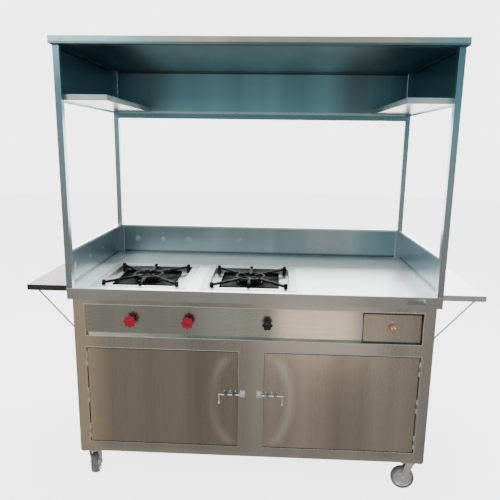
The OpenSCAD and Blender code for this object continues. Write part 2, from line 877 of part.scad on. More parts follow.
pivot_x = cab_x + 9;
pivot_z = fold_z - stay_drop;
stay_top_z = table_z0 - stay_r - run_gap;
stay_run = rest_x - pivot_x;
stay_rise = stay_top_z - pivot_z;
stay_angle = atan2(stay_run, stay_rise);
stay_len = sqrt(stay_run * stay_run + stay_rise * stay_rise);
leg_y = table_l / 2 - 32;

// A wire stay: two legs turned outwards into their brackets, and a cross rod under the table
module stay() {
    for (s = [-1, 1]) {
        translate([pivot_x, s * leg_y, pivot_z]) rotate([0, stay_angle, 0])
            cylinder(h = stay_len - stay_r - seat_gap, r = stay_r);
        y0 = s < 0 ? -leg_y - 14 : leg_y;
        bar([pivot_x, y0, pivot_z], 14, stay_r, 1);
        translate([pivot_x, s * leg_y, pivot_z]) sphere(r = stay_r + 0.4);
    }
    bar([rest_x, -leg_y - stay_r, stay_top_z], 2 * (leg_y + stay_r), stay_r, 1);
}

module stay_left() color(zinc) mirror([1, 0, 0]) stay();
module stay_right() color(zinc) stay();

module stay_brackets() color(zinc) both_sides() {
    for (s = [-1, 1]) {
        y0 = s < 0 ? -leg_y - 12 : leg_y + 6;
        difference() {
            union() {
                block([cab_x + seat_gap, s * (leg_y + 9) - 14, pivot_z - 12],
                    [cab_x + 1.6, s * (leg_y + 9) + 14, pivot_z + 12]);
                block([cab_x + seat_gap, y0, pivot_z - 7], [pivot_x + 6, y0 + 6, pivot_z + 7]);
            }
            bar([pivot_x, -half_d, pivot_z], body_d, stay_r + pin_gap, 1);
        }
    }
}

// ---- Casters ----

caster_bolt_r = 4;
caster_bolt_in = 9;
caster_bolt_spots = [for (sx = [-1, 1], sy = [-1, 1])
    [caster_x + sx * (caster_half_x - caster_bolt_in), caster_y + sy * (caster_half_y - caster_bolt_in)]];
race_z1 = cab_z - corner_plate_t - seat_gap - caster_plate_t;
race_h = 6;
crown_z1 = race_z1 - race_h - 0.3;
crown_t = 3.5;
kingpin_r = 5;
axle_r = 5;
fork_in = wheel_w / 2 + 3;
fork_t = 3;
crown_r = 27;
hub_r = wheel_d / 2 - 11;

module caster_plate() {
    z1 = race_z1 + caster_plate_t;
    difference() {
        block([caster_x - caster_half_x, caster_y - caster_half_y, race_z1],
            [caster_x + caster_half_x, caster_y + caster_half_y, z1]);
        for (p = caster_bolt_spots) {
            translate([p[0], p[1], race_z1 - eps])
                cylinder(h = caster_plate_t + 2 * eps, r = caster_bolt_r + 0.3);
        }
    }
    translate([caster_x, caster_y, 0]) {
        translate([0, 0, race_z1 - race_h]) cylinder(h = race_h + eps, r = 24);
        translate([0, 0, crown_z1 - crown_t - 6]) cylinder(h = race_h + crown_t + 7, r = kingpin_r);
        translate([0, 0, crown_z1 - crown_t - 6.3]) cylinder(h = 6, r = 9);
    }
}

module caster_plates() color(zinc) {
    for (sx = [0, 1], sy = [0, 1]) {
        mirror([sx, 0, 0]) mirror([0, sy, 0]) caster_plate();
    }
}

module caster_bolt_set() {
    for (p = caster_bolt_spots) {
        translate([p[0], p[1], race_z1 - 5 - seat_gap]) {
            cylinder(h = 5, r = 6.5, $fn = 6);
            cylinder(h = 5 + caster_plate_t + corner_plate_t, r = caster_bolt_r - pin_gap);
        }
    }
}

module caster_bolts() color(zinc) {
    for (sx = [0, 1], sy = [0, 1]) {
        mirror([sx, 0, 0]) mirror([0, sy, 0]) caster_bolt_set();
    }
}

// Where each caster stands and the way its wheel trails: front left, front right, back left, back right
caster_spots = [[-caster_x, -caster_y, 96], [caster_x, -caster_y, 172],
    [-caster_x, caster_y, -38], [caster_x, caster_y, 205]];

module at_caster(i) {
    translate([caster_spots[i][0], caster_spots[i][1], 0]) rotate(caster_spots[i][2]) children();
}

// The fork in its own frame: the wheel trails along +X and turns about a line along Y
module fork(i) color(zinc) at_caster(i) {
    axle_z = wheel_d / 2;
    difference() {
        union() {
            translate([0, 0, crown_z1 - crown_t]) cylinder(h = crown_t, r = crown_r);
            for (s = [-1, 1]) {
                y0 = s < 0 ? -fork_in - fork_t : fork_in;
                translate([0, y0 + fork_t, 0]) rotate([90, 0, 0]) linear_extrude(fork_t)
                    polygon([[-17, crown_z1], [17, crown_z1], [caster_trail + 12, axle_z],
                        [caster_trail + 7, axle_z - 11], [caster_trail - 7, axle_z - 11],
                        [caster_trail - 12, axle_z]]);
            }
        }
        translate([0, 0, crown_z1 - crown_t - eps]) cylinder(h = crown_t + 2 * eps, r = kingpin_r + pin_gap);
        bar([caster_trail, -fork_in - fork_t - eps, axle_z],
            2 * (fork_in + fork_t + eps), axle_r + pin_gap, 1);
    }
    reach = fork_in + fork_t + seat_gap;
    bar([caster_trail, -reach - 4, axle_z], 2 * reach + 8, axle_r, 1);
    bar([caster_trail, -reach - 5, axle_z], 5, 8, 1);
    translate([caster_trail, reach + 5, axle_z]) rotate([90, 0, 0]) cylinder(h = 5, r = 8, $fn = 6);
}

module wheel(i) at_caster(i) {
    axle_z = wheel_d / 2;
    r = wheel_d / 2;
    w = wheel_w / 2;
    translate([caster_trail, 0, axle_z]) rotate([90, 0, 0]) {
        color(rubber) rotate_extrude() polygon([[hub_r + seat_gap, -w], [r - 4, -w], [r - 1, -w + 3], [r, -w + 9],
            [r, w - 9], [r - 1, w - 3], [r - 4, w], [hub_r + seat_gap, w]]);
        color(zinc) rotate_extrude() polygon([[axle_r + pin_gap, -w - 2], [13, -w - 2], [13, -4], [hub_r - 6, -4],
            [hub_r - 5, -w + 1], [hub_r, -w + 1], [hub_r, w - 1], [hub_r - 5, w - 1],
            [hub_r - 6, 4], [13, 4], [13, w + 2], [axle_r + pin_gap, w + 2]]);
    }
}

module fork_front_left() fork(0);
module fork_front_right() fork(1);
module fork_back_left() fork(2);
module fork_back_right() fork(3);
module wheel_front_left() wheel(0);
module wheel_front_right() wheel(1);
module wheel_back_left() wheel(2);
module wheel_back_right() wheel(3);

base_frame();
cabinet_frame();
face_frame();
side_panels();
back_panel();
cabinet_floor();
centre_panel();
centre_partition();
storage_shelf();
control_panel();
drawer_case();
countertop();
side_guards();
back_guard();
upper_posts();
canopy_frame();
roof_pan();
ceiling_panel();
side_fascias();
back_fascia();
overhead_shelves();
burner_pans();
burners();
burner_caps();
drip_trays();
gas_manifold();
gas_valves();
feed_pipes();
bolt_keepers();
door_hinges();
table_hinges();
stay_brackets();
caster_plates();
caster_bolts();
grate_left();
grate_right();
drawer_box();
drawer_front();
drawer_knob();
knob_left();
knob_right();
knob_main();
door_left();
door_right();
bolt_left();
bolt_right();
table_left();
table_right();
stay_left();
stay_right();
fork_front_left();
fork_front_right();
fork_back_left();
fork_back_right();
wheel_front_left();
wheel_front_right();
wheel_back_left();
wheel_back_right();
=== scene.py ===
# %% [markdown]
# A push vending cart in brushed steel. The measured parts come packed as a frame: every sheet, tube and
# wheel already has its true size and place. This lesson gives them their finishes, adds the small
# pieces that a sheet-metal shop leaves on such a cart, and sets up a soft studio around it.

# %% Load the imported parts
import json
import math

import bmesh
import bpy
from mathutils import Matrix, Vector


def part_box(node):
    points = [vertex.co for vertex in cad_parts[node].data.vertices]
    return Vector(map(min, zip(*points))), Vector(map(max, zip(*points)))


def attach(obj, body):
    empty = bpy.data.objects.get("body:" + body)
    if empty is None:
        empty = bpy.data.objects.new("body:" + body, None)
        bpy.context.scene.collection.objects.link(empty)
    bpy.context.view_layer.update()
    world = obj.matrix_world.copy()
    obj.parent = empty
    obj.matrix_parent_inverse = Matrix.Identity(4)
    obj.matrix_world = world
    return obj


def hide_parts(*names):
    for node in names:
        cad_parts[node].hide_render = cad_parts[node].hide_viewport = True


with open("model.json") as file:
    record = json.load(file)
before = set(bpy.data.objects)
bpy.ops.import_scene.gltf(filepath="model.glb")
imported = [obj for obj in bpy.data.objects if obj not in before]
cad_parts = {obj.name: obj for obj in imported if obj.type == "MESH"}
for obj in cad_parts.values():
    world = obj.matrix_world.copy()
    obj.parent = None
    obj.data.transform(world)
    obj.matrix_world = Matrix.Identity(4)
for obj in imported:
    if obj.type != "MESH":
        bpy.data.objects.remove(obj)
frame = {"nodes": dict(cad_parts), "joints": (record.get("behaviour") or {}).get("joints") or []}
nodes = frame["nodes"]
joints = {joint["name"]: joint for joint in frame["joints"]}
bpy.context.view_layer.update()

# %% [markdown]
# The camera stands in front of the vendor's side, a little right of the middle, at the eye height of a
# person and turned slightly down. A Blender camera looks along its own -Z with +Y up, so its turn is
# written as a right, an up and a backward direction, which is easier to check than three angles.

# %% Place the camera
EYE = Vector((0.0785, -2.3724, 1.4767))
LENS_MM = 37.03
YAW, PITCH, ROLL = math.radians(2.55), math.radians(11.58), math.radians(-0.80)


def make_camera():
    turn = Matrix.Rotation(YAW, 3, "Z") @ Matrix.Rotation(-PITCH, 3, "X") @ Matrix.Rotation(ROLL, 3, "Y")
    right, forward, up = turn.col[0], turn.col[1], turn.col[2]
    data = bpy.data.cameras.new("shop_camera")
    data.lens = LENS_MM
    data.clip_end = 60
    camera = bpy.data.objects.new("shop_camera", data)
    bpy.context.scene.collection.objects.link(camera)
    camera.matrix_world = Matrix.Translation(EYE) @ Matrix((right, up, -forward)).transposed().to_4x4()
    bpy.context.scene.camera = camera
    return camera


camera = make_camera()
print("camera at", [round(v, 3) for v in camera.location], "lens", LENS_MM)

# %% [markdown]
# Every finish and every repeated shape is a node tree. One small function feeds a socket, either with a
# value or with a link. Another adds a node: its settings go in first, because they can change which
# sockets it has.

# %% Functions that feed a socket and add a node
def feed(tree, socket, value):
    value = getattr(value, "socket", value)
    if isinstance(value, bpy.types.NodeSocket):
        tree.links.new(value, socket)
    else:
        socket.default_value = value


def add_node(tree, kind, settings=None, inputs=None):
    node = tree.nodes.new(kind)
    for key, value in (settings or {}).items():
        setattr(node, key, value)
    for key, value in (inputs or {}).items():
        feed(tree, node.inputs[key], value)
    return node


print("node helpers ready")

# %% [markdown]
# Shader sums are easier to read as Python than as a web of nodes. The class below wraps a socket, so
# that `0.3 + 0.1 * grain` adds its own Math nodes. The reflected forms let a plain number stand on the
# left.

# %% A socket that does sums
class Field:
    def __init__(self, tree, socket):
        self.tree = tree
        self.socket = socket

    def math(self, operation, a, b, clamp=False):
        settings = {"operation": operation, "use_clamp": clamp}
        return Field(self.tree, add_node(self.tree, "ShaderNodeMath", settings, {0: a, 1: b}).outputs[0])

    def __add__(self, other):
        return self.math("ADD", self, other)

    def __sub__(self, other):
        return self.math("SUBTRACT", self, other)

    def __mul__(self, other):
        return self.math("MULTIPLY", self, other)

    def __truediv__(self, other):
        return self.math("DIVIDE", self, other)

    def __rsub__(self, other):
        return self.math("SUBTRACT", other, self)

    __radd__ = __add__
    __rmul__ = __mul__

    def above(self, low, high):
        """0 below low, 1 above high, and a straight slope between them."""
        return self.math("ADD", (self - low) / (high - low), 0.0, clamp=True)

    def near(self, centre, width):
        """1 at centre, falling to 0 at width to either side of it."""
        distance = self.math("ABSOLUTE", self - centre, 0.0)
        return self.math("SUBTRACT", 1.0, distance / width, clamp=True)

    def root(self):
        return self.math("SQRT", self, 0.0)


class Finish:
    """A material while it is being made, with the few nodes that all finishes here share."""

    def __init__(self, name, metallic=0.0):
        self.material = bpy.data.materials.new(name)
        self.material.use_nodes = True
        self.tree = self.material.node_tree
        self.shader = self.tree.nodes["Principled BSDF"]
        self.shader.inputs["Metallic"].default_value = metallic
        self.place = self.node("ShaderNodeTexCoord", {}, {}, "Object")

    def node(self, kind, settings, inputs, output=0):
        return Field(self.tree, add_node(self.tree, kind, settings, inputs).outputs[output])

    def noise(self, scale, stretch=(1, 1, 1), detail=3.0, roughness=0.55, shift=(0, 0, 0)):
        spot = {"Vector": self.place, "Location": shift, "Scale": stretch}
        mapped = self.node("ShaderNodeMapping", {}, spot)
        settings = {"Vector": mapped, "Scale": scale, "Detail": detail, "Roughness": roughness}
        return self.node("ShaderNodeTexNoise", {}, settings)

    def axis(self, name):
        return self.node("ShaderNodeSeparateXYZ", {}, {0: self.place}, name)

    def blend(self, mask, first, second):
        """A colour between two colours, by a mask from 0 to 1."""
        inputs = {"Factor": mask, 6: first, 7: second}
        return self.node("ShaderNodeMix", {"data_type": "RGBA"}, inputs, 2)

    def set(self, socket, value):
        feed(self.tree, self.shader.inputs[socket], value)

    def stain(self, mask, first, second):
        self.set("Base Color", self.blend(mask, tinted(first), tinted(second)))

    def bump(self, height, distance, strength):
        inputs = {"Height": height, "Distance": distance, "Strength": strength}
        self.set("Normal", self.node("ShaderNodeBump", {}, inputs))


def tinted(colour, factor=1.0):
    return (*[channel * factor for channel in colour], 1.0)


print("shader helpers ready")

# %% [markdown]
# Brushed steel is the whole look of this cart. A belt leaves fine parallel scratches, so the grain is
# noise that is squeezed across the scratches and stretched along them. Handling leaves wide smears, and
# a thin sheet is never flat: a slow wave in its bump makes reflections bend as they do on real panels.

# %% Brushed steel
GRAIN = {"x": (3.0, 420.0, 420.0), "y": (420.0, 3.0, 420.0), "z": (420.0, 420.0, 3.0)}
EVEN = (0.7, 0.7, 0.7)


def brushed_steel(name, tint, grain, rough, wave, streaks=EVEN, painted_bands=(), swirl=None):
    """The painted bands are (axis, low, high, fade, colour, amount): soft stripes of painted reflection,
    painted highlight and painted shade across the sheet.
    """
    finish = Finish(name, metallic=1.0)
    scratch = finish.noise(1.0, GRAIN[grain], detail=2.0, roughness=0.7)
    smear = finish.noise(4.0, streaks, detail=4.0)
    cloud = finish.noise(1.7, streaks, detail=2.0, shift=(3.1, 1.7, 0.4))
    tone = (0.07 * scratch + 0.50 * smear + 0.43 * cloud).above(0.32, 0.68)
    colour = finish.blend(tone, tinted(tint, 0.76), tinted(tint, 1.22))
    # Each band blends a painted colour of reflection, highlight or shade into the sheet
    for axis, low, high, fade, stripe, amount in painted_bands:
        place = finish.axis(axis)
        mask = place.above(low - fade, low + fade) * (1 - place.above(high - fade, high + fade))
        grainy = finish.blend(tone, tinted(stripe, 0.9), tinted(stripe, 1.08))
        colour = finish.blend(mask * amount, colour, grainy)
    if swirl:
        colour = swirl(finish, colour, smear)
    finish.set("Base Color", colour)
    finish.set("Roughness", rough - 0.05 + 0.1 * scratch + 0.12 * (smear - 0.5))
    ripple = finish.noise(2.3, detail=1.0, shift=(0.6, 2.2, 5.0))
    finish.bump(0.007 * scratch + wave * ripple, distance=0.008, strength=0.5)
    return finish.material


print("grain directions:", ", ".join(GRAIN))

# %% [markdown]
# Hands that work the two bolts have rubbed a pale ring into the doors and the panel between them. The
# ring is a distance from an ellipse: where that distance is 1 the rub is strongest, and it fades to
# both sides. A slow noise breaks it up, so that it looks rubbed and not drawn.

# %% A rubbed ring round the door bolts
RING_WIDE, RING_TALL = 3.6, 0.58
FADE_LOW, FADE_HIGH = 0.03, 0.05            # where the ring fades in and out, at the doors' bottom and top


def bolt_ring(finish, colour, smear):
    """The ring's width is told in widths of the keepers, its height in heights of a door."""
    keeper_low, keeper_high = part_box("bolt_keepers")
    door_low, door_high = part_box("door_left")
    bottom, top = door_low.z, door_high.z
    height = finish.axis("Z")
    across = finish.axis("X") - (keeper_low.x + keeper_high.x) / 2
    across = across / (RING_WIDE * (keeper_high.x - keeper_low.x) / 2)
    up = (height - (bottom + top) / 2) / (RING_TALL * (top - bottom))
    reach = (across * across + up * up).root()
    on_doors = height.above(bottom, bottom + FADE_LOW) * (1 - height.above(top - FADE_HIGH, top))
    rub = reach.near(1.0, 0.17) * smear.above(0.30, 0.62) * on_doors
    inside = reach.near(0.2, 0.9) * smear.above(0.45, 0.75)
    colour = finish.blend(0.75 * rub, colour, tinted((0.80, 0.78, 0.70)))
    return finish.blend(0.4 * inside, colour, tinted((0.66, 0.65, 0.59)))


print("ring:", RING_WIDE, "keepers wide,", RING_TALL, "of a door to either side")

# %% [markdown]
# The same steel is tinted differently from sheet to sheet, and the tints carry painted reflection:
# the front is painted warm, the canopy, roof, guards and posts carry a painted blue cast, and the
# counter top is painted nearly white as a painted sheen. Soft bands of painted reflection, highlight
# and shade run across the sheets. A stripe that has to run on past a sheet's edge simply starts or
# ends well beyond it.

# %% The steel finishes
face_low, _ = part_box("face_frame")
top_low, top_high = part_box("countertop")
guard_low, guard_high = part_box("back_guard")
roof_low, roof_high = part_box("roof_pan")
fascia_low, fascia_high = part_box("back_fascia")
BEYOND = 1
BANDS = (1.6, 0.5, 0.12)
# A warm painted reflection on the lower-left corner of the front and the doors
gold_corner_painted_reflection = ("X", face_low.x - 0.05, face_low.x + 0.10, 0.05, (0.86, 0.68, 0.46), 0.7)
# Painted light on the front: a painted highlight along its bottom edge and a paler painted reflection across
# the middle
front_painted_reflections = [
    gold_corner_painted_reflection,
    ("Z", face_low.z - 0.02, face_low.z + 0.020, 0.010, (0.60, 0.56, 0.49), 0.6),
    ("X", -0.02, 0.46, 0.12, (0.60, 0.55, 0.50), 0.45),
]
# Painted reflections on the doors: warm paler vertical bands
door_painted_reflections = [
    gold_corner_painted_reflection,
    ("X", 0.02, 0.24, 0.06, (0.62, 0.55, 0.47), 0.55),
    ("X", 0.20, 0.34, 0.03, (0.74, 0.61, 0.52), 0.50),
    ("X", 0.50, 0.66, 0.03, (0.62, 0.55, 0.48), 0.55),
]
# Painted reflection on the control panel: a warm bright patch in the middle, a paler band to its left and a
# warm band at its right end
panel_painted_reflections = [
    ("X", 0.105, 0.425, 0.035, (0.98, 0.84, 0.70), 0.85),
    ("X", -0.24, 0.00, 0.06, (0.66, 0.67, 0.62), 0.8),
    ("X", 0.46, 0.70, 0.01, (0.52, 0.46, 0.40), 0.7),
]
# Painted reflection on the counter: a paler band across the apron, and the top face painted nearly white as
# a painted sheen
counter_painted_reflection_and_sheen = [
    ("X", -0.05, 0.30, 0.16, (0.60, 0.57, 0.52), 0.5),
    ("Z", top_high.z - 0.0022, top_high.z + BEYOND, 0.0004, (0.90, 0.93, 0.95), 1.0),
]
# The tables' dark tint is painted shade, and the right table is painted pale as a painted reflection
table_painted_light_and_shade = [("X", 0.0, 2.0, 0.01, (0.80, 0.81, 0.80), 0.9)]
# Painted light on the guards: bands of painted reflection, a painted shadow line where they meet the
# counter, and a painted highlight along their top rim
guard_painted_light_and_shadow = [
    ("X", -0.90, -0.35, 0.15, (0.21, 0.29, 0.30), 0.75),
    ("X", 0.25, 0.50, 0.08, (0.46, 0.45, 0.41), 0.6),
    ("X", 0.60, 0.90, 0.08, (0.28, 0.42, 0.47), 0.6),
    ("Z", guard_low.z - BEYOND, guard_low.z + 0.012, 0.004, (0.07, 0.10, 0.11), 0.85),
    ("Z", guard_high.z - 0.010, guard_high.z + BEYOND, 0.002, (0.80, 0.86, 0.87), 0.9),
]
# A warm painted highlight across the roof's rim, and a painted shade line along its bottom
roof_painted_highlight_and_shade = [
    ("X", -0.28, 0.62, 0.12, (1.0, 0.74, 0.56), 0.9),
    ("Z", roof_low.z - BEYOND, roof_low.z + 0.008, 0.002, (0.10, 0.16, 0.18), 0.8),
]
# Painted shade in the canopy's corners and on two darker zones, a painted shadow line under the fascia's
# top, and a painted highlight along its bottom edge
canopy_painted_shade_and_highlight = [
    ("X", -0.90, -0.69, 0.04, (0.09, 0.15, 0.21), 0.8),
    ("X", -0.64, -0.50, 0.07, (0.17, 0.21, 0.22), 0.75),
    ("X", 0.40, 0.58, 0.06, (0.17, 0.20, 0.21), 0.75),
    ("X", 0.69, 0.90, 0.04, (0.09, 0.22, 0.28), 0.8),
    ("Z", fascia_high.z - 0.012, fascia_high.z - 0.002, 0.001, (0.03, 0.05, 0.06), 0.85),
    ("Z", fascia_low.z - BEYOND, fascia_low.z + 0.012, 0.002, (0.60, 0.72, 0.74), 0.7),
]
# The posts' lower part is painted warm grey as a painted reflection of the floor, below a painted blue cast
# at the top
post_painted_reflection = [("Z", 0.0, 1.35, 0.35, (0.46, 0.47, 0.45), 0.7)]
# name: tint with its painted cast, grain, roughness, wave, streaks, painted light bands, ring
STEELS = {
    # The warm tints of the front, doors and panel are painted reflection
    "front_sheet": ((0.47, 0.45, 0.405), "z", 0.28, 0.5, BANDS, front_painted_reflections, bolt_ring),
    "door_sheet": ((0.40, 0.355, 0.30), "z", 0.27, 0.9, BANDS, door_painted_reflections, bolt_ring),
    "panel_sheet": ((0.43, 0.435, 0.395), "x", 0.26, 0.6, BANDS, panel_painted_reflections),
    "side_sheet": ((0.48, 0.46, 0.43), "z", 0.32, 0.6),
    "counter_sheet": ((0.46, 0.455, 0.42), "x", 0.36, 0.3, EVEN, counter_painted_reflection_and_sheen),
    # The dark tint is painted shade on the tables
    "table_sheet": ((0.105, 0.095, 0.085), "y", 0.32, 0.4, EVEN, table_painted_light_and_shade),
    "pan_sheet": ((0.60, 0.60, 0.60), "x", 0.34, 0.3),
    # The blue casts of the guards, roof, canopy and posts are painted reflection of the surroundings
    "guard_sheet": ((0.34, 0.41, 0.42), "x", 0.32, 0.6, BANDS, guard_painted_light_and_shadow),
    "roof_sheet": ((0.32, 0.46, 0.50), "x", 0.32, 0.5, BANDS, roof_painted_highlight_and_shade),
    "canopy_sheet": ((0.25, 0.44, 0.48), "x", 0.36, 0.8, BANDS, canopy_painted_shade_and_highlight),
    "shelf_sheet": ((0.62, 0.64, 0.64), "y", 0.32, 0.4),
    "post_tube": ((0.16, 0.30, 0.34), "z", 0.30, 0.2, EVEN, post_painted_reflection),
    "frame_tube": ((0.36, 0.37, 0.37), "x", 0.36, 0.2),
    # The beads' steel is painted pale, a painted highlight along the folded edges
    "bead_sheen": ((0.86, 0.84, 0.80), "x", 0.22, 0.1),
    "weld_sheen": ((0.40, 0.48, 0.49), "z", 0.46, 0.2),
}
finishes = {name: brushed_steel(name, *recipe) for name, recipe in STEELS.items()}
print("steel finishes:", ", ".join(finishes))

# %% [markdown]
# The other materials are quieter. Zinc has a pale spangle, cast iron is black with a sandy skin, brass
# is satin with darker tarnish, the knobs are glossy moulded plastic, and the tyres are dull grey
# rubber.

# %% The other finishes
def zinc_plate():
    finish = Finish("zinc_plate", metallic=1.0)
    spangle = finish.node("ShaderNodeTexVoronoi", {}, {"Vector": finish.place, "Scale": 90.0}, "Distance")
    dirt = finish.noise(14.0, detail=4.0)
    finish.stain(dirt.above(0.35, 0.7), (0.93, 0.94, 0.95), (0.66, 0.65, 0.62))
    finish.set("Roughness", 0.28 + 0.18 * spangle + 0.1 * dirt)
    finish.bump(spangle, distance=0.0004, strength=0.3)
    return finish.material


def cast_iron():
    finish = Finish("cast_iron")
    sand = finish.noise(900.0, detail=2.0)
    soot = finish.noise(22.0, detail=5.0)
    finish.stain(soot.above(0.35, 0.75), (0.004, 0.0045, 0.006), (0.016, 0.015, 0.015))
    finish.set("Roughness", 0.50 + 0.25 * soot)
    finish.set("Specular IOR Level", 0.1)
    finish.bump(sand + 0.8 * soot, distance=0.0006, strength=0.6)
    return finish.material


def support_iron():
    """The pan supports are blacked castings, and pans have rubbed patches of them a little brighter."""
    finish = Finish("support_iron")
    rub = finish.noise(38.0, detail=5.0)
    bright = rub.above(0.48, 0.62)
    finish.stain(bright, (0.006, 0.006, 0.007), (0.030, 0.030, 0.032))
    finish.set("Roughness", 0.62 - 0.10 * bright)
    finish.set("Specular IOR Level", 0.12)
    finish.bump(finish.noise(700.0, detail=2.0) + 0.8 * rub, distance=0.0005, strength=0.5)
    return finish.material


def satin_brass():
    finish = Finish("satin_brass", metallic=1.0)
    tarnish = finish.noise(60.0, detail=5.0)
    finish.stain(tarnish.above(0.4, 0.75), (0.80, 0.52, 0.26), (0.42, 0.24, 0.11))
    finish.set("Roughness", 0.22 + 0.25 * tarnish)
    finish.bump(tarnish, distance=0.0003, strength=0.3)
    return finish.material


def moulded_plastic(name, colour, worn):
    finish = Finish(name)
    grime = finish.noise(70.0, detail=4.0)
    finish.stain(grime.above(0.45, 0.8), colour, worn)
    finish.set("Roughness", 0.24 + 0.3 * grime)
    finish.set("Specular IOR Level", 0.35)
    finish.set("Coat Weight", 0.12)
    finish.bump(finish.noise(400.0, detail=2.0), distance=0.0002, strength=0.3)
    return finish.material


def tyre_rubber():
    finish = Finish("tyre_rubber")
    dust = finish.noise(35.0, detail=5.0)
    finish.stain(dust.above(0.35, 0.7), (0.075, 0.08, 0.085), (0.19, 0.185, 0.175))
    finish.set("Roughness", 0.55 + 0.3 * dust)
    finish.bump(finish.noise(500.0, detail=3.0), distance=0.0003, strength=0.5)
    return finish.material


finishes["zinc_plate"] = zinc_plate()
finishes["cast_iron"] = cast_iron()
finishes["support_iron"] = support_iron()
finishes["satin_brass"] = satin_brass()
finishes["red_plastic"] = moulded_plastic("red_plastic", (0.33, 0.002, 0.020), (0.22, 0.008, 0.018))
finishes["black_plastic"] = moulded_plastic("black_plastic", (0.005, 0.005, 0.0055), (0.018, 0.018, 0.018))
finishes["tyre_rubber"] = tyre_rubber()
print("finishes:", len(finishes))

# %% [markdown]
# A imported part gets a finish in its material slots, and nothing else about it changes. One table says
# which parts share a finish, so that a change of mind is a change of one word. Parts that it leaves out
# are zinc plated.

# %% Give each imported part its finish
PART_FINISH = {
    "front_sheet": ["face_frame", "centre_panel"],
    "door_sheet": ["door_left", "door_right", "drawer_front"],
    "panel_sheet": ["control_panel"],
    "side_sheet": ["side_panels", "back_panel", "cabinet_floor", "centre_partition", "storage_shelf",
                   "drawer_box"],
    "counter_sheet": ["countertop"],
    "table_sheet": ["table_left", "table_right"],
    "pan_sheet": ["burner_pans"],
    "guard_sheet": ["side_guards", "back_guard"],
    "roof_sheet": ["roof_pan"],
    "canopy_sheet": ["ceiling_panel", "side_fascias", "back_fascia"],
    "shelf_sheet": ["overhead_shelves"],
    "post_tube": ["upper_posts", "canopy_frame"],
    "frame_tube": ["base_frame", "cabinet_frame", "drawer_case"],
    "cast_iron": ["burners", "burner_caps", "drip_trays"],
    "satin_brass": ["gas_valves", "feed_pipes", "drawer_knob"],
}
part_finish = {part: name for name, parts in PART_FINISH.items() for part in parts}
for name, part in nodes.items():
    for place in part.material_slots:
        place.material = finishes[part_finish.get(name, "zinc_plate")]
print("parts with a finish:", len(nodes))

# %% [markdown]
# Two small builders make the new pieces. One turns a bmesh into a finished piece: it merges doubled
# points, turns the faces outward, shades them, gives them a material and lets the piece ride on a body.
# The other spins an outline round an axis, for knobs, tyres, hubs and screws. The outline may be lobed,
# like a hand wheel.

# %% Builders for new pieces
def link_piece(name, mesh, body, crease=35):
    piece = bpy.data.objects.new(name, mesh)
    bpy.context.scene.collection.objects.link(piece)
    for face in mesh.polygons:
        face.use_smooth = True
    mesh.set_sharp_from_angle(angle=math.radians(crease))
    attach(piece, body)
    return piece


def finish_piece(name, shape, finish, body, crease=35):
    bmesh.ops.remove_doubles(shape, verts=shape.verts, dist=1e-6)
    bmesh.ops.recalc_face_normals(shape, faces=shape.faces)
    mesh = bpy.data.meshes.new(name)
    shape.to_mesh(mesh)
    shape.free()
    mesh.materials.append(finishes[finish])
    return link_piece(name, mesh, body, crease)


def frame_along(axis):
    """Two directions across an axis, and the axis itself."""
    along = Vector(axis).normalized()
    across = along.cross(Vector((0, 0, 1)))
    if across.length < 1e-3:
        across = Vector((1, 0, 0))
    across.normalize()
    return across, along.cross(across), along


def lathe(shape, centre, axis, outline, segments=72, lobes=0, closed=False):
    """Spins (radius, height, lobe depth) points round an axis. A radius of 0 closes the end in a pole."""
    across, over, along = frame_along(axis)
    rings = []
    for radius, height, depth in outline:
        ring = []
        for i in range(segments if radius > 0 else 1):
            angle = 2 * math.pi * i / segments
            dip = depth * (0.5 - 0.5 * math.cos(lobes * angle)) ** 1.5
            r = radius * (1 - dip)
            spot = Vector(centre) + along * height + (across * math.cos(angle) + over * math.sin(angle)) * r
            ring.append(shape.verts.new(spot))
        rings.append(ring)
    pairs = list(zip(rings, rings[1:])) + ([(rings[-1], rings[0])] if closed else [])
    for first, second in pairs:
        for i in range(segments):
            j = (i + 1) % segments
            around = [first[i % len(first)], first[j % len(first)]]
            around += [second[j % len(second)], second[i % len(second)]]
            around = list(dict.fromkeys(around))
            if len(around) > 2:
                shape.faces.new(around)


print("builders ready")

# %% [markdown]
# The gas knobs are moulded hand wheels. A flat extrusion would look stamped, so the outline runs over a
# raised hub, a shallow dish and a rounded rim, and the lobes fade towards the middle.

# %% Gas knobs
def gas_knob(node, joint, lobes, finish, body):
    low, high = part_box(node)
    centre = Vector(joints[joint]["pos_m"])
    radius = (high.x - low.x) / 2
    front = centre.y - low.y
    tail = centre.y - high.y
    stem, collar = 0.0038, 0.0088
    grip = front - 0.0022
    outline = [
        # The cap in the middle, and the raised hub round it
        (0, front, 0), (0.0036, front, 0), (0.0040, front - 0.0006, 0), (0.0040, grip - 0.0006, 0),
        (0.0062, grip - 0.0004, 0), (0.0088, grip - 0.0010, 0), (0.0105, grip - 0.0034, 0.02),
        # The shallow dish, and the rounded rim with its lobes
        (radius * 0.62, grip - 0.0038, 0.08), (radius * 0.84, grip - 0.0026, 0.16),
        (radius * 0.95, grip - 0.0030, 0.20), (radius * 0.995, grip - 0.0052, 0.22),
        (radius, grip - 0.0074, 0.22), (radius * 0.985, grip - 0.0104, 0.22),
        (radius * 0.93, grip - 0.0124, 0.2),
        # The back, the collar and the stem
        (radius * 0.5, grip - 0.0129, 0.05), (collar, grip - 0.0130, 0), (collar, grip - 0.0185, 0),
        (stem, grip - 0.0190, 0), (stem, tail, 0), (0, tail, 0),
    ]
    shape = bmesh.new()
    lathe(shape, centre, (0, -1, 0), outline, segments=96, lobes=lobes)
    piece = finish_piece(node + "_moulded", shape, finish, body, crease=50)
    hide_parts(node)
    return piece


